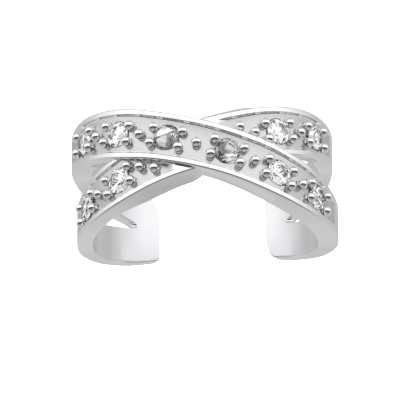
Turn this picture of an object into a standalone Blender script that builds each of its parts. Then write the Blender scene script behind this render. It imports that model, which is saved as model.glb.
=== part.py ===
"""Ear cuff: two crossing channels of stones, cast in one piece with plain tabs, and ten round brilliants.

The ring lies on its side with its axis along +Z, its front at -Y and its open gap at +Y. Turns are measured
about the axis from the front, positive towards +X.
"""

import math

import bmesh
import bpy
import numpy as np
from mathutils import Matrix, Vector

# The ring
INNER_RADIUS = 0.0046
CUFF_HEIGHT = 0.0047
GAP_WIDTH = 0.0044
TAB_WALL = 0.00048

# The two bands; their walls are measured over the rails
BAND_WIDTH = 0.00214
OVER_WALL = 0.0009
UNDER_WALL = 0.00067
RAIL_WIDTH = 0.00026
CHANNEL_DEPTH = 0.00015
SLOT_HEIGHT = 0.0016
OUTER_ROUNDING = 0.00009
INNER_ROUNDING = 0.00004
OVER_TAB_CORNER = (0.00045, 0.001)
UNDER_TAB_CORNER = (0.00012, 0.00012)
CROSSING_TURN = math.radians(-1)

# The web that fills the inner crotch of the crossing, and the turns where it starts, is full, thins and ends
WEB_HEIGHT = 0.00028
WEB_TURNS = tuple(math.radians(turn) for turn in (-8, 3, 18, 50))

# The under band's channel starts between these turns, on either side of the crossing
COVERED_TURNS = tuple(math.radians(turn) for turn in (9, 14))

# The under band's faces lie this far inside the over band's, so that no two faces coincide where they merge
MERGE_STEP = 0.00002

# The stones, and the shares of their diameter that a round brilliant has
STONE_DIAMETER = 0.0011
STONE_PITCH = 0.00232
CROSSING_PITCH = 0.00252
STONE_PAIRS = 3
TABLE_SHARE = 0.56
CROWN_SHARE = 0.14
GIRDLE_SHARE = 0.03
PAVILION_SHARE = 0.42
STAR_REACH = 0.5
LOWER_HALF_REACH = 0.77
SEAT_CLEARANCE = 0.00002
DRILL_DIAMETER = 0.0004

# The grains, small cast domes that lap over the edges of the stones
GRAIN_DIAMETER = 0.00044
GRAIN_LAP = 0.00005
GRAIN_LIFT = 0.00012
GRAIN_TURN = math.radians(28)

# How finely the round forms are stepped
BAND_STEP = math.radians(6)
CORNER_STEPS = 3
GRAIN_SIDES = 10
GRAIN_RINGS = 5
SEAT_SIDES = 16
BRILLIANT_FOLD = 8

# One row for each section of a half band, from the crossing to the end of its tab.
# turn: share of the turn from the crossing to the tab's end
# rise: outer edge, from 0 where it crosses to 1 at the full height of the cuff
# slot: inner edge, as a share of half the band's width below the middle and of half the slot's height above it
# wall: what the wall keeps of its extra thickness over the tab's wall
SECTION_COLUMNS = ("turn", "rise", "slot", "wall")
SECTION_ROWS = (
    (0.000, 0.00, -1.00, 1.00),
    (0.070, 0.21, -0.75, 1.00),
    (0.130, 0.40, -0.53, 1.00),
    (0.200, 0.62, -0.30, 1.00),
    (0.260, 0.77, -0.09, 1.00),
    (0.330, 0.90, 0.18, 1.00),
    (0.390, 0.97, 0.43, 1.00),
    (0.450, 1.00, 0.68, 1.00),
    (0.530, 1.00, 0.93, 1.00),
    (0.600, 1.00, 1.00, 0.95),
    (0.640, 0.98, 0.96, 0.88),
    (0.690, 0.90, 0.82, 0.72),
    (0.760, 0.79, 0.59, 0.48),
    (0.840, 0.61, 0.31, 0.25),
    (0.905, 0.45, 0.11, 0.12),
    (0.918, 0.41, -0.10, 0.10),
    (1.000, 0.17, -0.10, 0.00),
)

HALF_HEIGHT = CUFF_HEIGHT / 2
TAB_END = math.pi - math.asin(GAP_WIDTH / 2 / INNER_RADIUS)
STONE_RADIUS = STONE_DIAMETER / 2
GRAIN_RADIUS = GRAIN_DIAMETER / 2
GIRDLE = GIRDLE_SHARE * STONE_DIAMETER
CROWN = CROWN_SHARE * STONE_DIAMETER
PAVILION = PAVILION_SHARE * STONE_DIAMETER
TABLE_RADIUS = TABLE_SHARE * STONE_RADIUS


class Band:
    """One of the two bands: which way it rises, and its own sizes."""

    def __init__(self, name, rising, wall, corner, inset):
        self.name = name
        self.rising = rising
        self.wall = wall
        self.corner, self.corner_rise = corner
        self.inset = inset
        self.inner = INNER_RADIUS + inset
        self.end = TAB_END - inset / self.inner

    def edges(self, turn):
        """The lower and upper height of the band, before the tab's corner is rounded."""
        outer = BAND_WIDTH / 2 + (HALF_HEIGHT - BAND_WIDTH / 2) * along_half("rise", turn)
        slot = along_half("slot", turn)
        inner = max(slot, 0) * SLOT_HEIGHT / 2 + min(slot, 0) * BAND_WIDTH / 2
        if turn * self.rising > 0:
            return inner, outer
        return -outer, -inner

    def middle(self, turn):
        return sum(self.edges(turn)) / 2

    def slope(self, turn, radius):
        """The angle at which the band climbs round the ring."""
        step = math.radians(0.5)
        climb = self.middle(turn + step) - self.middle(turn - step)
        return math.atan2(climb, 2 * step * radius)

    def outer(self, turn):
        return self.inner + TAB_WALL + (self.wall - TAB_WALL) * along_half("wall", turn)

    def floor(self, turn):
        return self.outer(turn) - self.channel(turn)

    def channel(self, turn):
        """The channel runs to just past the last grains and then comes up to the plain metal."""
        run_out = STONE_RADIUS / self.outer(turn)
        end = self.stone_turn(STONE_PAIRS - 1) + (STONE_RADIUS + 2.5 * GRAIN_RADIUS) / self.outer(turn)
        depth = CHANNEL_DEPTH * (1 - ramp(end, end + run_out, abs(turn)))
        if self.inset:
            depth *= ramp(*COVERED_TURNS, abs(turn))
        return depth

    def web(self, turn):
        """How far the inner crotch is filled past the edge of the under band, on the side where it rises."""
        if not self.inset:
            return 0
        start, full, thin, end = WEB_TURNS
        return WEB_HEIGHT * ramp(start, full, turn) * (1 - ramp(thin, end, turn))

    def stone_turn(self, place):
        """Place 0 lies half the crossing's own wider pitch to one side of it, and each further one a pitch on."""
        return (CROSSING_PITCH / 2 + place * STONE_PITCH) / (self.inner + self.wall - CHANNEL_DEPTH / 2)

    def section(self, turn):
        """Radius and height of the wall's corners: up its outer side with the channel, and down its inner side."""
        low, high = self.edges(turn)
        to_end = max(self.end - abs(turn), 0) * self.outer(turn)
        if to_end < self.corner:
            cut = self.corner_rise * (1 - math.sqrt(1 - (1 - to_end / self.corner) ** 2))
            if turn * self.rising > 0:
                high -= cut
            else:
                low += cut
        outer = self.outer(turn)
        floor = self.floor(turn)
        inner = self.inner
        depth = outer - floor
        rail = min(RAIL_WIDTH, (high - low) / 3)
        soft = min(OUTER_ROUNDING, rail / 2)
        cant = soft * (1 - math.sqrt(0.5))
        lip = rail + depth / 3
        ease = INNER_ROUNDING
        inner_low = low - self.web(-turn * self.rising)
        inner_high = high + self.web(turn * self.rising)
        return (
            (inner + ease, inner_low),
            (outer - soft, low),
            (outer - cant, low + cant),
            (outer, low + soft),
            (outer, low + rail),
            (floor, low + lip),
            (floor, high - lip),
            (outer, high - rail),
            (outer, high - soft),
            (outer - cant, high - cant),
            (outer - soft, high),
            (inner + ease, inner_high),
            (inner, inner_high - ease),
            (inner, inner_low + ease),
        )

    def stations(self):
        """The turns of the sections: even steps, the table's rows near the slot's end, and the tab's corner."""
        last_rows = [row[0] * TAB_END for row in SECTION_ROWS[-4:-1]]
        plain_end = last_rows[0]
        even = np.linspace(0, plain_end, math.ceil(plain_end / BAND_STEP) + 1)
        reach = self.corner / (self.inner + TAB_WALL)
        steps = np.arange(CORNER_STEPS + 1) * math.pi / 2 / CORNER_STEPS
        corner = self.end - reach * (1 - np.sin(steps))
        half = np.concatenate((even, last_rows[1:], corner))
        half = half[np.concatenate(([True], np.diff(half) > 1e-6))]
        return np.concatenate((-half[:0:-1], half))


def along_half(column, turn):
    """Reads a column of the section table at a turn, on a cubic that is level where the rows turn back."""
    turns = np.array([row[0] for row in SECTION_ROWS]) * TAB_END
    values = np.array([row[SECTION_COLUMNS.index(column)] for row in SECTION_ROWS])
    climbs = np.diff(values) / np.diff(turns)
    slopes = np.zeros(len(values))
    for k in range(1, len(values) - 1):
        if climbs[k - 1] * climbs[k] > 0:
            slopes[k] = 2 * climbs[k - 1] * climbs[k] / (climbs[k - 1] + climbs[k])
    slopes[0] = climbs[0]
    slopes[-1] = climbs[-1]
    at = min(abs(turn), TAB_END)
    k = min(int(np.searchsorted(turns, at, side="right")) - 1, len(values) - 2)
    width = turns[k + 1] - turns[k]
    t = (at - turns[k]) / width
    start = (1 + 2 * t) * (1 - t) ** 2 * values[k] + t * (1 - t) ** 2 * width * slopes[k]
    end = t**2 * (3 - 2 * t) * values[k + 1] + t**2 * (t - 1) * width * slopes[k + 1]
    return float(start + end)


def ramp(start, end, value):
    """0 up to the start, 1 from the end on, and level at both."""
    share = min(max((value - start) / (end - start), 0), 1)
    return share**2 * (3 - 2 * share)


def on_ring(turn, radius, height):
    """A point of the ring; the crossing sits a little to one side of the middle of the front."""
    angle = turn + CROSSING_TURN * (1 + math.cos(turn)) / 2
    return Vector((radius * math.sin(angle), -radius * math.cos(angle), height))


def new_object(name, mesh, collection, material):
    obj = bpy.data.objects.new(name, mesh)
    collection.objects.link(obj)
    if material:
        mesh.materials.append(material)
    return obj


def as_guide(obj):
    obj.hide_render = True
    obj.display_type = "WIRE"
    return obj


def mesh_from(bm, name):
    bmesh.ops.recalc_face_normals(bm, faces=bm.faces)
    bmesh.ops.triangulate(bm, faces=bm.faces)
    mesh = bpy.data.meshes.new(name)
    bm.to_mesh(mesh)
    bm.free()
    return mesh


def lofted_band(band):
    """Joins the band's unlike sections, one after another, into a closed strip with flat ends."""
    bm = bmesh.new()
    rings = []
    for turn in band.stations():
        rings.append([bm.verts.new(on_ring(turn, radius, height)) for radius, height in band.section(turn)])
    for ring, following in zip(rings, rings[1:]):
        for k, corner in enumerate(ring):
            bm.faces.new((ring[k - 1], corner, following[k], following[k - 1]))
    bm.faces.new(rings[0])
    bm.faces.new(rings[-1])
    return mesh_from(bm, band.name)


def seat_frame(band, turn, radius):
    """Axes of a stone's place: X along the band, Y across it, Z out of the ring."""
    place = on_ring(turn, radius, band.middle(turn))
    out = Vector((place.x, place.y, 0)).normalized()
    level = Vector((-out.y, out.x, 0))
    climb = band.slope(turn, radius)
    along = level * math.cos(climb) + Vector((0, 0, math.sin(climb)))
    across = out.cross(along)
    axes = Matrix((along, across, out)).transposed().to_4x4()
    return Matrix.Translation(place) @ axes


def girdle_radius(band, turn):
    """The underside of the stone's girdle lies level with the floor of the channel."""
    return band.floor(turn)


def brilliant_mesh():
    """A round brilliant: table, stars, kites and girdle facets above, mains and halves below."""
    bm = bmesh.new()
    half_fold = math.pi / BRILLIANT_FOLD
    table_height = GIRDLE + CROWN
    flat = TABLE_RADIUS * math.cos(half_fold)
    star = flat + STAR_REACH * (STONE_RADIUS - flat)
    kite_fall = CROWN / (STONE_RADIUS - TABLE_RADIUS)
    star_height = GIRDLE + kite_fall * (STONE_RADIUS - star * math.cos(half_fold))
    half_tip = STONE_RADIUS * (1 - LOWER_HALF_REACH)
    half_height = -PAVILION * (1 - half_tip * math.cos(half_fold) / STONE_RADIUS)
    for k in range(2 * BRILLIANT_FOLD):
        angle = k * half_fold
        ring = [(STONE_RADIUS, 0), (STONE_RADIUS, GIRDLE)]
        if k % 2:
            ring += [(star, star_height), (half_tip, half_height)]
        else:
            ring += [(TABLE_RADIUS, table_height)]
        for radius, height in ring:
            bm.verts.new((radius * math.cos(angle), radius * math.sin(angle), height))
    bm.verts.new((0, 0, -PAVILION))
    bmesh.ops.convex_hull(bm, input=bm.verts)
    bmesh.ops.dissolve_limit(bm, angle_limit=math.radians(1), verts=bm.verts, edges=bm.edges)
    return mesh_from(bm, "round_brilliant")


def seat_profile():
    """Half outline of what is cut for a stone: drill hole, cone, girdle wall and the relief over the crown."""
    slope = PAVILION / STONE_RADIUS
    wide = STONE_RADIUS + SEAT_CLEARANCE
    drill = DRILL_DIAMETER / 2
    sink = SEAT_CLEARANCE * math.hypot(1, slope)
    drill_top = -sink - PAVILION + slope * drill
    girdle_foot = -sink - PAVILION + slope * wide
    crown_fall = CROWN / (STONE_RADIUS - TABLE_RADIUS)
    girdle_top = GIRDLE + SEAT_CLEARANCE
    lid = girdle_top + CROWN
    lid_radius = wide - CROWN / crown_fall
    return (
        (0, -2 * PAVILION),
        (drill, -2 * PAVILION),
        (drill, drill_top),
        (wide, girdle_foot),
        (wide, girdle_top),
        (lid_radius, lid),
        (0, lid),
    )


def turned_seat(name, collection):
    """The seat's cutter, turned from its profile."""
    bm = bmesh.new()
    corners = [bm.verts.new((radius, 0, height)) for radius, height in reversed(seat_profile())]
    for start, end in zip(corners, corners[1:]):
        bm.edges.new((start, end))
    mesh = bpy.data.meshes.new(name)
    bm.to_mesh(mesh)
    bm.free()
    seat = as_guide(new_object(name, mesh, collection, None))
    screw = seat.modifiers.new("turned", "SCREW")
    screw.steps = SEAT_SIDES
    screw.render_steps = SEAT_SIDES
    screw.use_merge_vertices = True
    screw.merge_threshold = 1e-8
    return seat


def grain_places(band):
    """Turn and height of each grain: four round every stone and one midway between neighbours."""
    reach = STONE_RADIUS + GRAIN_RADIUS - GRAIN_LAP
    along = reach * math.cos(GRAIN_TURN)
    across = reach * math.sin(GRAIN_TURN)
    places = []
    for side in (-1, 1):
        for place in range(STONE_PAIRS):
            turn = side * band.stone_turn(place)
            radius = band.outer(turn)
            climb = band.slope(turn, radius)
            for forward in (-along, along):
                for sideways in (-across, across):
                    shift = forward * math.cos(climb) - sideways * math.sin(climb)
                    lift = forward * math.sin(climb) + sideways * math.cos(climb)
                    places.append((turn + shift / radius, band.middle(turn) + lift))
        for place in range(1, STONE_PAIRS):
            turn = side * (band.stone_turn(place - 1) + band.stone_turn(place)) / 2
            places.append((turn, band.middle(turn)))
    places.append((0.0, band.middle(0.0)))
    return places


def is_covered(turn, height, reach):
    """Whether the over band covers a place of the under band."""
    low, high = OVER_BAND.edges(turn)
    return low < height + reach and height - reach < high


def add_grains(bm, band, places):
    for turn, height in places:
        out = on_ring(turn, 1, 0)
        spot = on_ring(turn, band.floor(turn) + GRAIN_LIFT, height)
        upright = Vector((0, 0, 1)).rotation_difference(out).to_matrix().to_4x4()
        bmesh.ops.create_uvsphere(
            bm,
            u_segments=GRAIN_SIDES,
            v_segments=GRAIN_RINGS,
            radius=GRAIN_RADIUS,
            matrix=Matrix.Translation(spot) @ upright,
        )


def principled(name, colour, metallic, roughness, transmission=0.0):
    material = bpy.data.materials.new(name)
    material.use_nodes = True
    shader = material.node_tree.nodes["Principled BSDF"]
    shader.inputs["Base Color"].default_value = (*colour, 1)
    shader.inputs["Metallic"].default_value = metallic
    shader.inputs["Roughness"].default_value = roughness
    shader.inputs["Transmission Weight"].default_value = transmission
    return material


def combine(obj, operand, operation):
    cut = obj.modifiers.new(operation.lower(), "BOOLEAN")
    cut.operation = operation
    cut.solver = "MANIFOLD"
    cut.object = operand


def build_body(parts, cutters, silver):
    """Both bands and the grains fused into one casting, with a seat cut for each stone."""
    body = new_object("cuff_body", lofted_band(OVER_BAND), parts, silver)
    under = as_guide(new_object("under_band", lofted_band(UNDER_BAND), cutters, None))
    combine(body, under, "UNION")
    bm = bmesh.new()
    add_grains(bm, OVER_BAND, grain_places(OVER_BAND))
    bare = [place for place in grain_places(UNDER_BAND) if not is_covered(*place, GRAIN_RADIUS)]
    add_grains(bm, UNDER_BAND, bare)
    grains = as_guide(new_object("grains", mesh_from(bm, "grains"), cutters, None))
    combine(body, grains, "UNION")
    return body


def stone_places(band):
    """Turns of the band's stones from left to right, without those that the over band covers."""
    turns = [side * band.stone_turn(place) for side in (-1, 1) for place in range(STONE_PAIRS)]
    if band is UNDER_BAND:
        turns = [turn for turn in turns if not is_covered(turn, band.middle(turn), STONE_RADIUS)]
    return sorted(turns)


def set_stones(band, body, parts, cutters, clear_stone):
    """Puts each stone in its place and cuts the same place out of the casting."""
    cut_stone = brilliant_mesh()
    cut_stone.materials.append(clear_stone)
    for number, turn in enumerate(stone_places(band), start=1):
        frame = seat_frame(band, turn, girdle_radius(band, turn))
        stone = bpy.data.objects.new(f"{band.name}_stone_{number}", cut_stone)
        parts.objects.link(stone)
        stone.matrix_world = frame
        seat = turned_seat(f"{band.name}_seat_{number}", cutters)
        seat.matrix_world = frame
        combine(body, seat, "DIFFERENCE")


def stand_on_rim(parts, cutters):
    """Lifts the ring on to its lower rim, with the middle of its outline over the origin."""
    front = OVER_BAND.floor(0) + GRAIN_LIFT + GRAIN_RADIUS
    back = -OVER_BAND.outer(TAB_END) * math.cos(TAB_END)
    carrier = bpy.data.objects.new("ear_cuff", None)
    parts.objects.link(carrier)
    for obj in list(parts.objects) + list(cutters.objects):
        if obj is not carrier:
            obj.parent = carrier
    carrier.location = (0, (front - back) / 2, HALF_HEIGHT)


OVER_BAND = Band("over_band", -1, OVER_WALL, OVER_TAB_CORNER, 0)
UNDER_BAND = Band("under_band", 1, UNDER_WALL, UNDER_TAB_CORNER, MERGE_STEP)


def main():
    for obj in list(bpy.data.objects):
        bpy.data.objects.remove(obj)
    parts = bpy.data.collections.new("ear_cuff")
    cutters = bpy.data.collections.new("cutters")
    bpy.context.scene.collection.children.link(parts)
    bpy.context.scene.collection.children.link(cutters)
    silver = principled("rhodium_plated_silver", (0.91, 0.91, 0.92), 1.0, 0.12)
    clear_stone = principled("clear_stone", (0.97, 0.98, 1.0), 0.0, 0.0, 1.0)
    body = build_body(parts, cutters, silver)
    for band in (OVER_BAND, UNDER_BAND):
        set_stones(band, body, parts, cutters, clear_stone)
    body.data.shade_smooth()
    body.data.set_sharp_from_angle(angle=math.radians(35))
    stand_on_rim(parts, cutters)


main()
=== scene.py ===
"""Ear cuff: two crossing bands set with clear round stones, lying on its rims on a pale table."""

import math

import bmesh
import bpy
import numpy as np
from mathutils import Matrix, Vector


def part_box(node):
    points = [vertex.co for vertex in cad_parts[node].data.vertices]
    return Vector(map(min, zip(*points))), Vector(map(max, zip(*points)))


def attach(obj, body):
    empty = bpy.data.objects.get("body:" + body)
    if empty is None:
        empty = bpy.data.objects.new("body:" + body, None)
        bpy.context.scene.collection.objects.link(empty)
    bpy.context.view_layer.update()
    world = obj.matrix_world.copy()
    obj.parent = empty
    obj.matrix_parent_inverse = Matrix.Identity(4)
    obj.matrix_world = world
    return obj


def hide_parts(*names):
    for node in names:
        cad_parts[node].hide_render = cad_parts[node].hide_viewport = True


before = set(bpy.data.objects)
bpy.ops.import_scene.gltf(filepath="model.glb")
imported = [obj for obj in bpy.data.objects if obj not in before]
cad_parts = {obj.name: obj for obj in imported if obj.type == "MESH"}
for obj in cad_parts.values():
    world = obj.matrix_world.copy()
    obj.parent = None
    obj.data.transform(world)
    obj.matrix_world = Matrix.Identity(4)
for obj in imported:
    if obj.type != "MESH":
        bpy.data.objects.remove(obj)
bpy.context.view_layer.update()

# The casting: two bands that cross at the front, each a channel between raised rails, run on round the
# sides as plain bars and join in the two plain tabs. Sterling silver, lost-wax cast in one piece with the
# grains that hold the stones, then tumbled, polished by hand and rhodium plated.
MM = 0.001
CUFF_LOW, CUFF_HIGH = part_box("cuff_body")
HALF_HEIGHT = (CUFF_HIGH.z - CUFF_LOW.z) / 2
INNER_RADIUS = 4.6 * MM
GAP_WIDTH = 4.4 * MM
TAB_WALL = 0.48 * MM
BAND_WIDTH = 2.14 * MM
OVER_WALL = 0.9 * MM
UNDER_WALL = 0.67 * MM
RAIL_WIDTH = 0.26 * MM
CHANNEL_DEPTH = 0.15 * MM
FOOT_DEPTH = 0.11 * MM
SLOT_HEIGHT = 1.6 * MM
OUTER_ROUNDING = 0.08 * MM
INNER_ROUNDING = 0.05 * MM
LIP_ROUNDING = 0.035 * MM
END_ROUNDING = 0.06 * MM
OVER_TAB_CORNER = (0.45 * MM, 1.0 * MM)
UNDER_TAB_CORNER = (0.12 * MM, 0.12 * MM)
WEB_HEIGHT = 0.28 * MM
WEB_TURNS = [math.radians(turn) for turn in (-8, 3, 18, 50)]
COVERED_TURNS = [math.radians(turn) for turn in (9, 14)]
CROSSING_STEP = 0.02 * MM
CROSSING_TURN = math.radians(-1)
STEP_TURNS = [math.radians(turn) for turn in (20, 45)]
WALLS_MEET = 0.8
STONE_RADIUS = 0.55 * MM
STONE_PITCH = 2.32 * MM
CROSSING_PITCH = 2.52 * MM
STONE_PAIRS = 3
GRAIN_RADIUS = 0.22 * MM
GRAIN_LAP = 0.05 * MM
GRAIN_LIFT = 0.12 * MM
GRAIN_TURN = math.radians(28)
CHANNEL_PAST_STONE = STONE_RADIUS + 2.2 * GRAIN_RADIUS
CHANNEL_RUN_OUT = 1.6 * STONE_RADIUS
SEAT_CLEARANCE = 0.02 * MM
PAVILION = 0.462 * MM
GIRDLE = 0.033 * MM
DRILL_RADIUS = 0.2 * MM
DRILL_DEPTH = 2 * PAVILION
BORE_REACH = 0.17 * MM
BORE_TOP = 0.4

# One row for each section of a half band, from the crossing to the end of its tab.
# turn: share of the turn from the crossing to the tab's end
# rise: outer edge, from 0 where it crosses to 1 at the full height of the cuff
# slot: inner edge, as a share of half the band's width below the middle, of half the slot's height above it
# wall: what the wall keeps of its extra thickness over the tab's wall
SECTION_COLUMNS = ("turn", "rise", "slot", "wall")
SECTION_ROWS = np.array(
    (
        (0.000, 0.00, -1.00, 1.00),
        (0.070, 0.21, -0.75, 1.00),
        (0.130, 0.40, -0.53, 1.00),
        (0.200, 0.62, -0.30, 1.00),
        (0.260, 0.77, -0.09, 1.00),
        (0.330, 0.90, 0.18, 1.00),
        (0.390, 0.97, 0.43, 1.00),
        (0.450, 1.00, 0.68, 1.00),
        (0.530, 1.00, 0.93, 1.00),
        (0.600, 1.00, 1.00, 0.95),
        (0.640, 0.98, 0.96, 0.88),
        (0.690, 0.90, 0.82, 0.72),
        (0.760, 0.79, 0.59, 0.48),
        (0.840, 0.61, 0.31, 0.25),
        (0.905, 0.45, 0.11, 0.12),
        (0.912, 0.43, 0.00, 0.11),
        (1.000, 0.17, 0.00, 0.00),
    )
)
TAB_END = math.pi - math.asin(GAP_WIDTH / 2 / INNER_RADIUS)
SLOT_END = SECTION_ROWS[-2, 0] * TAB_END
FRONT_REACH = INNER_RADIUS + OVER_WALL - CHANNEL_DEPTH + GRAIN_LIFT + GRAIN_RADIUS
BACK_REACH = (INNER_RADIUS + TAB_WALL) * -math.cos(TAB_END)
RING_CENTRE = np.array((0, (FRONT_REACH - BACK_REACH) / 2, CUFF_LOW.z + HALF_HEIGHT))


def along_half(column, turn):
    """A column of the section table at each turn: cubic Hermite pieces whose slope at a row is the harmonic
    mean of its two neighbours' slopes, and is level where these have opposite signs."""
    turns = SECTION_ROWS[:, 0] * TAB_END
    values = SECTION_ROWS[:, SECTION_COLUMNS.index(column)]
    climbs = np.diff(values) / np.diff(turns)
    product = climbs[:-1] * climbs[1:]
    total = climbs[:-1] + climbs[1:]
    inner = np.where(product > 0, 2 * product / np.where(total == 0, 1, total), 0)
    slopes = np.concatenate((climbs[:1], inner, climbs[-1:]))
    at = np.minimum(np.abs(turn), TAB_END)
    k = np.clip(np.searchsorted(turns, at, side="right") - 1, 0, len(values) - 2)
    width = turns[k + 1] - turns[k]
    t = (at - turns[k]) / width
    start = (1 + 2 * t) * (1 - t) ** 2 * values[k] + t * (1 - t) ** 2 * width * slopes[k]
    end = t**2 * (3 - 2 * t) * values[k + 1] + t**2 * (t - 1) * width * slopes[k + 1]
    return start + end


def soft_step(low, high, value):
    """0 below low, 1 above high, and the cubic 3t^2 - 2t^3 between them."""
    t = np.clip((value - low) / (high - low), 0, 1)
    return t * t * (3 - 2 * t)


def on_ring(turn, radius, height):
    """Points at (R sin a, -R cos a, height) round the ring's axis, where a is the turn from the crossing,
    which sits a little to one side of the middle of the front."""
    angle = turn + CROSSING_TURN * (1 + np.cos(turn)) / 2
    place = np.broadcast_arrays(radius * np.sin(angle), -radius * np.cos(angle), height)
    return np.stack(place, axis=-1) + RING_CENTRE


class Band:
    """One of the two bands: which way it rises, its wall, its tab's corner and its inside's step outwards."""

    def __init__(self, name, rising, wall, corner, step):
        self.name = name
        self.rising = rising
        self.wall = wall
        self.corner, self.corner_rise = corner
        self.step = step

    def edges(self, turn):
        """Lower and upper height: the outer edge swings to the cuff's full height, and the inner one from
        the far side of the crossing to the slot."""
        outer = BAND_WIDTH / 2 + (HALF_HEIGHT - BAND_WIDTH / 2) * along_half("rise", turn)
        slot = along_half("slot", turn)
        inner = np.maximum(slot, 0) * SLOT_HEIGHT / 2 + np.minimum(slot, 0) * BAND_WIDTH / 2
        upward = np.asarray(turn) * self.rising > 0
        return np.where(upward, inner, -outer), np.where(upward, outer, -inner)

    def middle(self, turn):
        """Height halfway between the two edges."""
        low, high = self.edges(turn)
        return (low + high) / 2

    def slope(self, turn, radius):
        """The angle at which the band climbs, from its middle's rise over half a degree each way."""
        step = math.radians(0.5)
        climb = self.middle(turn + step) - self.middle(turn - step)
        return np.arctan2(climb, 2 * step * radius)

    def inner(self, turn):
        """The inside, which lies a hair further out on the under band where the over band crosses it."""
        return INNER_RADIUS + self.step * (1 - soft_step(*STEP_TURNS, np.abs(turn)))

    def outer(self, turn):
        """The outside, on a wall that is the same for both bands from the slot's end on."""
        blend = soft_step(WALLS_MEET * TAB_END, SLOT_END, np.abs(turn))
        wall = self.wall + ((OVER_WALL + UNDER_WALL) / 2 - self.wall) * blend
        return self.inner(turn) + TAB_WALL + (wall - TAB_WALL) * along_half("wall", turn)

    def stone_turn(self, place):
        """Place 0 lies half the crossing's own wider pitch from it, and each further one a pitch on."""
        along = CROSSING_PITCH / 2 + place * STONE_PITCH
        return along / (INNER_RADIUS + self.step + self.wall - CHANNEL_DEPTH / 2)

    def channel(self, turn):
        """1 along the channel, and down to 0 on a soft step past the last grains, and on the under band
        also where the over band covers it."""
        last = self.stone_turn(STONE_PAIRS - 1) + CHANNEL_PAST_STONE / self.outer(turn)
        along = 1 - soft_step(last, last + CHANNEL_RUN_OUT / self.outer(turn), np.abs(turn))
        if self.step:
            along = along * soft_step(*COVERED_TURNS, np.abs(turn))
        return along

    def web(self, turn):
        """How far metal fills the inner crotch past the under band's edge, on the side where it rises."""
        if not self.step:
            return np.zeros(turn.shape)
        start, full, thin, end = WEB_TURNS
        return WEB_HEIGHT * soft_step(start, full, turn) * (1 - soft_step(thin, end, turn))


OVER_BAND = Band("over_band", -1, OVER_WALL, OVER_TAB_CORNER, 0)
UNDER_BAND = Band("under_band", 1, UNDER_WALL, UNDER_TAB_CORNER, CROSSING_STEP)


def srgb(code):
    """Linear colour of an sRGB hex code: ((c + 0.055) / 1.055)^2.4 above 0.04045, else c / 12.92."""
    channels = [int(code[k : k + 2], 16) / 255 for k in (1, 3, 5)]
    linear = [((c + 0.055) / 1.055) ** 2.4 if c > 0.04045 else c / 12.92 for c in channels]
    return (*linear, 1)


def node(tree, kind, **values):
    """Adds a node and sets its properties, and its sockets where the name is a socket's."""
    made = tree.nodes.new(kind)
    for name, value in values.items():
        if hasattr(made, name):
            setattr(made, name, value)
        else:
            made.inputs[name.replace("_", " ")].default_value = value
    return made


def new_material(name):
    """A material, with its node tree and its Principled shader."""
    material = bpy.data.materials.new(name)
    material.use_nodes = True
    tree = material.node_tree
    return material, tree, tree.nodes["Principled BSDF"]


def silver_finish(name, colour, dull, polish, grain, height):
    """Silver whose roughness wanders between two values and whose face waves a little, on one grain size."""
    material, tree, shader = new_material(name)
    shader.inputs["Base Color"].default_value = srgb(colour)
    shader.inputs["Metallic"].default_value = 1
    place = node(tree, "ShaderNodeTexCoord")
    noise = node(tree, "ShaderNodeTexNoise", Scale=1 / grain, Detail=3)
    spread = node(tree, "ShaderNodeMapRange", To_Min=polish, To_Max=dull)
    bump = node(tree, "ShaderNodeBump", Distance=height, Strength=1)
    link = tree.links.new
    link(place.outputs["Object"], noise.inputs["Vector"])
    link(noise.outputs["Fac"], spread.inputs["Value"])
    link(spread.outputs["Result"], shader.inputs["Roughness"])
    link(noise.outputs["Fac"], bump.inputs["Height"])
    link(bump.outputs["Normal"], shader.inputs["Normal"])
    return material


# Rhodium over hand-polished silver: clean dark and light reflections with slightly soft edges
polished = silver_finish("polished_rhodium", "#f8f8fa", 0.07, 0.03, grain=0.6 * MM, height=0.0001 * MM)
# Rhodium over tumbled silver, in the channels: soft grey, partly from the rough finish and partly a darker
# base colour that paints the shade in the sunken channel, with the faint orange peel of the cast skin
tumbled = silver_finish("tumbled_rhodium_painted_shade", "#dadada", 0.34, 0.22, grain=0.14 * MM, height=0.003 * MM)
# Rhodium over buffed silver, inside the ring: soft and slightly mottled reflections
buffed = silver_finish("buffed_rhodium", "#eeeef0", 0.26, 0.14, grain=0.35 * MM, height=0.0012 * MM)

PLAIN_STATIONS = 140
TAB_STATIONS = 10
CORNER_STATIONS = 14
FLOOR_COLUMNS = 11
INSIDE_COLUMNS = 7
GRAIN_SIDES = 24
SEAT_SIDES = 40
FLOOR_FINISH_FROM = 0.2


def band_stations():
    """Turns of the sections: even steps to the slot's end, then to the tab's corner, and last steps that
    crowd as 1 - sin a towards the end, where the corner and the edge are rounded."""
    plain = np.linspace(0, SLOT_END, PLAIN_STATIONS)
    corner_start = TAB_END - OVER_TAB_CORNER[0] / (INNER_RADIUS + TAB_WALL)
    tab = np.linspace(SLOT_END, corner_start, TAB_STATIONS)[1:]
    steps = np.linspace(0, math.pi / 2, CORNER_STATIONS)[1:]
    corner = TAB_END - (TAB_END - corner_start) * (1 - np.sin(steps))
    half = np.concatenate((plain, tab, corner))
    return np.concatenate((-half[:0:-1], half))


def round_over(reach, depth, distance):
    """What a quarter ellipse takes off at distance d from the end: b (1 - sqrt(1 - (1 - d / a)^2))."""
    left = np.clip(1 - distance / reach, 0, 1)
    return depth * (1 - np.sqrt(1 - left**2))


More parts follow.
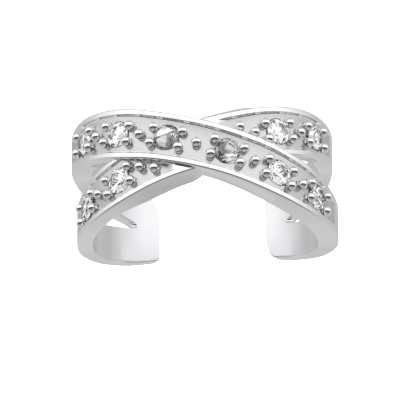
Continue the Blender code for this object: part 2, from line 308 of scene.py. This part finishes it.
def half_section(band, turn, edge, middle, inward):
    """Radius and height of the wall's points from the middle of its inside, round one edge on two quarter
    circles, over the rail, down its inner side and across the floor, which sags as 1 - (1 - s)^2, to the
    middle of the channel. The roundings shrink where the slot closes, and inward is the side on which the
    wall lies."""
    inner = band.inner(turn)
    outer = band.outer(turn)
    channel = band.channel(turn)
    half_width = np.abs(middle - edge)
    on_slot = inward * turn * band.rising > 0
    ease = np.where(on_slot, np.clip(np.abs(edge) / (3 * OUTER_ROUNDING), 0, 1), 1)
    ease = np.where(on_slot & (np.abs(turn) < SLOT_END / 2), 1, ease)
    fit = np.minimum(half_width / (RAIL_WIDTH + 3 * LIP_ROUNDING), 1)
    inside = INNER_ROUNDING * ease
    outside = OUTER_ROUNDING * ease * fit
    lip = LIP_ROUNDING * fit
    rail = RAIL_WIDTH * fit
    web = band.web(-inward * turn * band.rising)
    arc = np.linspace(0, math.pi / 2, 6)
    columns = []
    for share in np.linspace(1, 0, INSIDE_COLUMNS + 1)[:-1]:
        columns.append((inner, inside - web + share * (half_width - inside + web)))
    for a in arc[::2]:
        columns.append((inner + inside * (1 - math.cos(a)), inside * (1 - math.sin(a)) - web))
    for a in arc:
        columns.append((outer - outside * (1 - math.sin(a)), outside * (1 - math.cos(a))))
    for share in (0.33, 0.67, 1):
        columns.append((outer, outside + share * (rail - lip - outside)))
    for a in arc[1:]:
        columns.append((outer - channel * lip * (1 - math.cos(a)), rail - lip + lip * math.sin(a)))
    for a in arc[1:]:
        drop = lip + (FOOT_DEPTH - lip) * math.sin(a)
        columns.append((outer - channel * drop, rail + 2 * lip * (1 - math.cos(a))))
    foot = rail + 2 * lip
    for share in np.linspace(0, 1, FLOOR_COLUMNS + 1)[1:]:
        sag = FOOT_DEPTH + (CHANNEL_DEPTH + SEAT_CLEARANCE - FOOT_DEPTH) * (1 - (1 - share) ** 2)
        columns.append((outer - channel * sag, foot + share * (half_width - foot)))
    radius = np.stack([np.broadcast_to(column[0], turn.shape) for column in columns], axis=1)
    away = np.stack([np.broadcast_to(column[1], turn.shape) for column in columns], axis=1)
    return radius, edge[:, None] + inward * away


def mesh_object(name, points, faces):
    """An unturned object at the origin, with its mesh's points where they belong."""
    mesh = bpy.data.meshes.new(name)
    mesh.from_pydata(points.reshape(-1, 3).tolist(), [], faces)
    obj = bpy.data.objects.new(name, mesh)
    bpy.context.scene.collection.objects.link(obj)
    return obj


def grid_faces(rows, columns):
    """Quads of a grid that closes on itself along its columns."""
    first = np.arange(rows - 1)[:, None] * columns + np.arange(columns)
    beside = np.arange(rows - 1)[:, None] * columns + (np.arange(columns) + 1) % columns
    return np.stack((first, beside, beside + columns, first + columns), axis=-1).reshape(-1, 4)


def band_object(band):
    """A band's skin: the two halves of its section at every station, closed with a face at each end."""
    turn = band_stations()
    low, high = band.edges(turn)
    to_end = (TAB_END - np.abs(turn)) * band.outer(turn)
    cut = round_over(band.corner, band.corner_rise, to_end)
    upward = turn * band.rising > 0
    low = np.where(upward, low, low + cut)
    high = np.where(upward, high - cut, high)
    middle = (low + high) / 2
    low_radius, low_height = half_section(band, turn, low, middle, 1)
    high_radius, high_height = half_section(band, turn, high, middle, -1)
    radius = np.hstack((low_radius, high_radius[:, -2:0:-1]))
    height = np.hstack((low_height, high_height[:, -2:0:-1]))
    inset = round_over(END_ROUNDING, END_ROUNDING, to_end)[:, None]
    inner = band.inner(turn)[:, None] + inset
    outer = band.outer(turn)[:, None] - inset
    points = on_ring(turn[:, None], np.clip(radius, inner, outer), height)
    rows, columns = radius.shape
    faces = grid_faces(rows, columns).tolist()
    faces.append(list(range(columns))[::-1])
    faces.append(list(range((rows - 1) * columns, rows * columns)))
    skin = mesh_object(band.name, points, faces)
    from_middle = np.abs(np.arange(columns) + 1.5 - low_radius.shape[1])
    # The channel floor takes the tumbled finish, whose darker grey partly paints the shade in the channel
    on_floor = (band.channel(turn[:-1, None]) > FLOOR_FINISH_FROM) & (from_middle < FLOOR_COLUMNS)
    inside = np.minimum(np.arange(columns), columns - 1 - np.arange(columns)) < INSIDE_COLUMNS
    finish = np.where(inside, 2, on_floor)
    finish = np.concatenate((finish.ravel(), (0, 0))).astype(np.int32)
    for material in (polished, tumbled, buffed):
        skin.data.materials.append(material)
    skin.data.polygons.foreach_set("material_index", finish)
    return skin


def stone_turns(band):
    """Turns of a band's stones, without those that the over band covers."""
    places = band.stone_turn(np.arange(STONE_PAIRS))
    turns = np.concatenate((-places[::-1], places))
    if band is UNDER_BAND:
        turns = turns[~is_covered(turns, band.middle(turns), STONE_RADIUS)]
    return turns


def is_covered(turn, height, reach):
    """True where the over band comes within reach of a place on the under band."""
    low, high = OVER_BAND.edges(turn)
    return (low < height + reach) & (height - reach < high)


def grain_places(band):
    """Turn and height of each grain: four round every stone, one midway between neighbours and one where the
    bands cross, without those that the over band covers."""
    places = band.stone_turn(np.arange(STONE_PAIRS))
    stones = np.concatenate((-places[::-1], places))
    reach = STONE_RADIUS + GRAIN_RADIUS - GRAIN_LAP
    forward = reach * math.cos(GRAIN_TURN) * np.array((-1, -1, 1, 1))
    sideways = reach * math.sin(GRAIN_TURN) * np.array((-1, 1, -1, 1))
    radius = band.outer(stones)
    climb = band.slope(stones, radius)[:, None]
    shift = forward * np.cos(climb) - sideways * np.sin(climb)
    lift = forward * np.sin(climb) + sideways * np.cos(climb)
    turns = (stones[:, None] + shift / radius[:, None]).ravel()
    heights = (band.middle(stones)[:, None] + lift).ravel()
    between = (places[1:] + places[:-1]) / 2
    between = np.concatenate((-between, [0], between))
    turns = np.concatenate((turns, between))
    heights = np.concatenate((heights, band.middle(between)))
    if band is UNDER_BAND:
        bare = ~is_covered(turns, heights, GRAIN_RADIUS)
        turns = turns[bare]
        heights = heights[bare]
    return turns, heights


def copies(name, centres, axes, profile, sides):
    """Closed turned solids, one at each centre: the profile's radius and height swung round the third axis,
    with its first and last point on the axis."""
    radius, height = np.array(profile).T
    angle = np.linspace(0, 2 * math.pi, sides, endpoint=False)
    local = np.stack(
        (
            np.outer(radius[1:-1], np.cos(angle)),
            np.outer(radius[1:-1], np.sin(angle)),
            np.repeat(height[1:-1, None], sides, axis=1),
        ),
        axis=-1,
    ).reshape(-1, 3)
    local = np.vstack((local, (0, 0, height[0]), (0, 0, height[-1])))
    rings = len(radius) - 2
    quads = grid_faces(rings, sides)
    around = np.arange(sides)
    beside = (around + 1) % sides
    foot = np.stack((beside, around, np.full(sides, rings * sides)), axis=-1)
    head = np.stack((around, beside, np.full(sides, 1)), axis=-1)
    head[:, :2] += (rings - 1) * sides
    head[:, 2] = rings * sides + 1
    points = centres[:, None] + np.einsum("pk,nkj->npj", local, axes)
    faces = []
    for number in range(len(centres)):
        offset = number * len(local)
        faces += (quads + offset).tolist() + (foot + offset).tolist() + (head + offset).tolist()
    return mesh_object(name, points, faces)


def seat_axes(band, turn, radius):
    """Axes at each turn: along the climbing band, across it and out of the ring."""
    ahead = on_ring(turn, radius, 0) - RING_CENTRE
    out = ahead / np.linalg.norm(ahead, axis=-1, keepdims=True)
    level = np.stack((-out[:, 1], out[:, 0], np.zeros(len(out))), axis=-1)
    climb = band.slope(turn, radius)[:, None]
    along = level * np.cos(climb) + np.array((0, 0, 1)) * np.sin(climb)
    return np.stack((along, np.cross(out, along), out), axis=1)


def grains_object(band):
    """Cast domes of 0.44 mm: whole balls sunk in the floor, radius r sin b and height -r cos b."""
    turns, heights = grain_places(band)
    radius = band.outer(turns) - CHANNEL_DEPTH + GRAIN_LIFT
    sweep = np.linspace(0, math.pi, 15)
    profile = np.stack((GRAIN_RADIUS * np.sin(sweep), -GRAIN_RADIUS * np.cos(sweep)), axis=-1)
    axes = seat_axes(band, turns, radius)
    return copies(f"{band.name}_grains", on_ring(turns, radius, heights), axes, profile, GRAIN_SIDES)


def seats_object(band):
    """What is cut for each stone: a drill hole, a cone that keeps the clearance c square to the pavilion,
    so it sinks c sqrt(1 + slope^2), and a bore over the girdle that narrows to its top."""
    turns = stone_turns(band)
    radius = band.outer(turns) - CHANNEL_DEPTH
    wide = STONE_RADIUS + SEAT_CLEARANCE
    slope = PAVILION / STONE_RADIUS
    sink = SEAT_CLEARANCE * math.hypot(1, slope)
    profile = (
        (0, -DRILL_DEPTH),
        (DRILL_RADIUS, -DRILL_DEPTH),
        (DRILL_RADIUS, -sink - PAVILION + slope * DRILL_RADIUS),
        (wide, -sink - PAVILION + slope * wide),
        (wide, GIRDLE + SEAT_CLEARANCE),
        (BORE_TOP * wide, GIRDLE + BORE_REACH),
        (0, GIRDLE + BORE_REACH),
    )
    places = on_ring(turns, radius, band.middle(turns))
    return copies(f"{band.name}_seats", places, seat_axes(band, turns, radius), profile, SEAT_SIDES)


def cut_band(band):
    """The band's mesh with its grains fused on and its seats cut out."""
    skin = band_object(band)
    helpers = [grains_object(band), seats_object(band)]
    for operation, helper in zip(("UNION", "DIFFERENCE"), helpers):
        modifier = skin.modifiers.new(operation.lower(), "BOOLEAN")
        modifier.operation = operation
        modifier.solver = "MANIFOLD"
        modifier.object = helper
    bpy.context.view_layer.update()
    graph = bpy.context.evaluated_depsgraph_get()
    mesh = bpy.data.meshes.new_from_object(skin.evaluated_get(graph))
    for obj in [skin, *helpers]:
        bpy.data.objects.remove(obj)
    return mesh


# How near two points merge, how level the wall between the bands lies, and the shortest edge that stays
MERGE_REACH = 0.0008 * MM
LEVEL_REACH = 0.002 * MM
SLIVER_LENGTH = 0.0001 * MM
SHARP_ANGLE = math.radians(35)


def weld_tabs(bm):
    """Joins the two bands along the middle of the tabs: equal points merge and the walls between them go."""
    bmesh.ops.remove_doubles(bm, verts=bm.verts, dist=MERGE_REACH)
    middle = RING_CENTRE[2]
    inside = []
    for face in bm.faces:
        if all(abs(vert.co.z - middle) < LEVEL_REACH for vert in face.verts):
            inside.append(face)
    bmesh.ops.delete(bm, geom=inside, context="FACES")
    bmesh.ops.dissolve_degenerate(bm, dist=SLIVER_LENGTH, edges=bm.edges)


casting_bm = bmesh.new()
for band in (OVER_BAND, UNDER_BAND):
    casting_bm.from_mesh(cut_band(band))
weld_tabs(casting_bm)
bmesh.ops.recalc_face_normals(casting_bm, faces=casting_bm.faces)
casting_mesh = bpy.data.meshes.new("casting")
casting_bm.to_mesh(casting_mesh)
casting_bm.free()
casting = bpy.data.objects.new("casting", casting_mesh)
bpy.context.scene.collection.objects.link(casting)
for material in (polished, tumbled, buffed):
    casting_mesh.materials.append(material)
casting_mesh.shade_smooth()
casting_mesh.set_sharp_from_angle(angle=SHARP_ANGLE)
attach(casting, "root")
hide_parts("cuff_body")

# The ten stones: 1.1 mm round brilliants of clear cubic zirconia, machine cut and polished. Each is pressed
# into its seat and held by four grains. The solids have their facets, so only the finish is given here.
ZIRCONIA_IOR = 2.15


def clear_stone():
    """Cubic zirconia: strong clear refraction, and the faint unevenness that polishing leaves on facets."""
    material, tree, shader = new_material("cubic_zirconia")
    shader.inputs["Base Color"].default_value = srgb("#ffffff")
    shader.inputs["IOR"].default_value = ZIRCONIA_IOR
    shader.inputs["Transmission Weight"].default_value = 1
    place = node(tree, "ShaderNodeTexCoord")
    noise = node(tree, "ShaderNodeTexNoise", Scale=1 / (0.3 * MM), Detail=2)
    spread = node(tree, "ShaderNodeMapRange", From_Min=0.5, To_Min=0, To_Max=0.02)
    tree.links.new(place.outputs["Object"], noise.inputs["Vector"])
    tree.links.new(noise.outputs["Fac"], spread.inputs["Value"])
    tree.links.new(spread.outputs["Result"], shader.inputs["Roughness"])
    return material


zirconia = clear_stone()
for name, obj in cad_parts.items():
    if "stone" in name:
        obj.material_slots[0].material = zirconia

# The table: a sheet of matt white card that the cuff lies on, far larger than the picture. It is slightly lit
# through from below, so that the cuff's shadow stays pale, and it isn't mirrored in the metal or the stones.
TABLE_WIDTH = 800 * MM


def ramp(tree, stops):
    """A colour ramp of greys, from pairs of a place between 0 and 1 and a grey."""
    made = node(tree, "ShaderNodeValToRGB")
    elements = made.color_ramp.elements
    while len(elements) < len(stops):
        elements.new(0.5)
    for element, (place, grey) in zip(elements, stops):
        element.position = place
        element.color = (grey, grey, grey, 1)
    return made


def white_card():
    """Matt white card: no shine, with the faint cloudiness of paper, over 0.8 mm."""
    material, tree, shader = new_material("matt_white_card")
    shader.inputs["Roughness"].default_value = 0.9
    shader.inputs["Emission Color"].default_value = srgb("#ffffff")
    shader.inputs["Emission Strength"].default_value = 0.7
    place = node(tree, "ShaderNodeTexCoord")
    noise = node(tree, "ShaderNodeTexNoise", Scale=1 / (0.8 * MM), Detail=3)
    tone = ramp(tree, ((0.3, 0.89), (0.7, 0.91)))
    tree.links.new(place.outputs["Object"], noise.inputs["Vector"])
    tree.links.new(noise.outputs["Fac"], tone.inputs["Fac"])
    tree.links.new(tone.outputs["Color"], shader.inputs["Base Color"])
    return material


corner = TABLE_WIDTH / 2
card_corners = ((-corner, -corner, 0), (corner, -corner, 0), (corner, corner, 0), (-corner, corner, 0))
table_top = mesh_object("table_top", np.array(card_corners), [(0, 1, 2, 3)])
table_top.data.materials.append(white_card())
table_top.visible_glossy = False
table_top.visible_transmission = False

# The light tent round the table: white in front of the cuff and below it, and grey behind and above, with a
# dark strip in front, above the horizon, that draws the dark lines in the polished metal.
# Rows: elevation in degrees and brightness. The front passes into the back between the two shares of depth.
TENT_FRONT = ((-90, 0.5), (-62, 0.6), (-46, 1.15), (-3, 1.15), (3, 0.05), (26, 0.07), (42, 0.24), (90, 0.45))
TENT_BACK = ((-90, 0.5), (-45, 0.55), (0, 0.55), (22, 0.62), (60, 0.5), (90, 0.45))
TENT_BLEND = (-0.3, 0.5)


def tent_side(tree, rows):
    """One side of the tent: a ramp over the direction's upward part, (sin e + 1) / 2 at elevation e."""
    return ramp(tree, [((math.sin(math.radians(rise)) + 1) / 2, grey) for rise, grey in rows])


world = bpy.data.worlds.new("tent")
bpy.context.scene.world = world
world.use_nodes = True
tent = world.node_tree
direction = node(tent, "ShaderNodeTexCoord")
split = node(tent, "ShaderNodeSeparateXYZ")
tall = node(tent, "ShaderNodeMapRange", From_Min=-1, From_Max=1)
deep = node(tent, "ShaderNodeMapRange", From_Min=TENT_BLEND[0], From_Max=TENT_BLEND[1])
front = tent_side(tent, TENT_FRONT)
back = tent_side(tent, TENT_BACK)
mix = node(tent, "ShaderNodeMix", data_type="RGBA")
link = tent.links.new
link(direction.outputs["Generated"], split.inputs["Vector"])
link(split.outputs["Z"], tall.inputs["Value"])
link(split.outputs["Y"], deep.inputs["Value"])
link(tall.outputs["Result"], front.inputs["Fac"])
link(tall.outputs["Result"], back.inputs["Fac"])
link(deep.outputs["Result"], mix.inputs["Factor"])
link(front.outputs["Color"], mix.inputs["A"])
link(back.outputs["Color"], mix.inputs["B"])
link(mix.outputs["Result"], tent.nodes["Background"].inputs["Color"])

# White panels round the tent, made as one dome with dark gaps. They stand for the many small lights that make
# cut stones sparkle, so they show only through the stones.
PANEL_RADIUS = 200 * MM
PANEL_RISE = (-4, 86)
PANEL_ROWS = 13
PANEL_COLUMNS = 48


def dome(name, radius, rises, rows, columns):
    """Part of a sphere between two elevations e: R cos e cos a, R cos e sin a and R sin e."""
    rise = np.radians(np.linspace(*rises, rows))[:, None]
    around = np.linspace(0, 2 * math.pi, columns, endpoint=False)
    level = np.cos(rise)
    upward = np.broadcast_to(np.sin(rise), (rows, columns))
    points = np.stack((level * np.cos(around), level * np.sin(around), upward), axis=-1)
    return mesh_object(name, radius * points, grid_faces(rows, columns).tolist())


def lit_panels():
    """Lit cloth: white areas with sharp dark gaps where the noise, over 60 mm, is low."""
    material, tree, shader = new_material("lit_panels")
    shader.inputs["Base Color"].default_value = srgb("#000000")
    shader.inputs["Emission Strength"].default_value = 1.3
    place = node(tree, "ShaderNodeTexCoord")
    noise = node(tree, "ShaderNodeTexNoise", Scale=1 / (60 * MM), Detail=0)
    edge = node(tree, "ShaderNodeMapRange", From_Min=0.3, From_Max=0.36)
    tree.links.new(place.outputs["Object"], noise.inputs["Vector"])
    tree.links.new(noise.outputs["Fac"], edge.inputs["Value"])
    tree.links.new(edge.outputs["Result"], shader.inputs["Emission Color"])
    return material


panels = dome("panels", PANEL_RADIUS, PANEL_RISE, PANEL_ROWS, PANEL_COLUMNS)
panels.data.materials.append(lit_panels())
panels.visible_camera = False
panels.visible_diffuse = False
panels.visible_glossy = False
panels.visible_shadow = False

# The lamp: one large round soft box straight overhead. It lights the card and the matt places, and isn't
# mirrored in the metal or seen in the stones.
LAMP_WIDTH = 300 * MM
LAMP_HEIGHT = 300 * MM
LAMP_WATTS = 1.6
lamp_data = bpy.data.lights.new("overhead", "AREA")
lamp_data.shape = "DISK"
lamp_data.size = LAMP_WIDTH
lamp_data.energy = LAMP_WATTS
lamp = bpy.data.objects.new("overhead", lamp_data)
bpy.context.scene.collection.objects.link(lamp)
lamp.location = (0, 0, LAMP_HEIGHT)
lamp.visible_glossy = False
lamp.visible_transmission = False

# The camera: at the photograph's angle to the cuff, 22 degrees above the table and a little to the left. It
# is turned upside down, because the cuff stands on its head in the picture. Lens and sensor are in metres.
SIGHT_DROP = math.radians(22.18)
SIGHT_TURN = math.radians(-4.55)
SIGHT_ROLL = math.radians(-0.35)
FRAME_WIDTH = 16.46 * MM
AIM_ACROSS = -0.206 * MM
AIM_DOWN = 0.288 * MM
LENS = 0.65
SENSOR = 0.036
CLIP_NEAR = 20 * MM
CLIP_FAR = 3


def photo_camera():
    """A camera whose axes are turned by the three angles and whose aim is moved off the ring's centre, so
    that the cuff stands in the frame as in the photograph. Its distance is lens x frame width / sensor."""
    right = np.array((-math.cos(SIGHT_TURN), -math.sin(SIGHT_TURN), 0))
    down = np.array(
        (
            -math.sin(SIGHT_DROP) * math.sin(SIGHT_TURN),
            math.sin(SIGHT_DROP) * math.cos(SIGHT_TURN),
            math.cos(SIGHT_DROP),
        )
    )
    ahead = np.array(
        (
            -math.cos(SIGHT_DROP) * math.sin(SIGHT_TURN),
            math.cos(SIGHT_DROP) * math.cos(SIGHT_TURN),
            -math.sin(SIGHT_DROP),
        )
    )
    across = right * math.cos(SIGHT_ROLL) - down * math.sin(SIGHT_ROLL)
    downward = right * math.sin(SIGHT_ROLL) + down * math.cos(SIGHT_ROLL)
    target = RING_CENTRE + AIM_ACROSS * across + AIM_DOWN * downward
    data = bpy.data.cameras.new("photo_camera")
    data.lens = LENS * 1000
    data.sensor_width = SENSOR * 1000
    data.clip_start = CLIP_NEAR
    data.clip_end = CLIP_FAR
    camera = bpy.data.objects.new("photo_camera", data)
    place = target - ahead * LENS * FRAME_WIDTH / SENSOR
    axes = Matrix((Vector(across), Vector(-downward), Vector(-ahead))).transposed().to_4x4()
    camera.matrix_world = Matrix.Translation(Vector(place)) @ axes
    return camera


camera = photo_camera()
bpy.context.scene.collection.objects.link(camera)
bpy.context.scene.camera = camera
bpy.context.scene.view_settings.view_transform = "Standard"
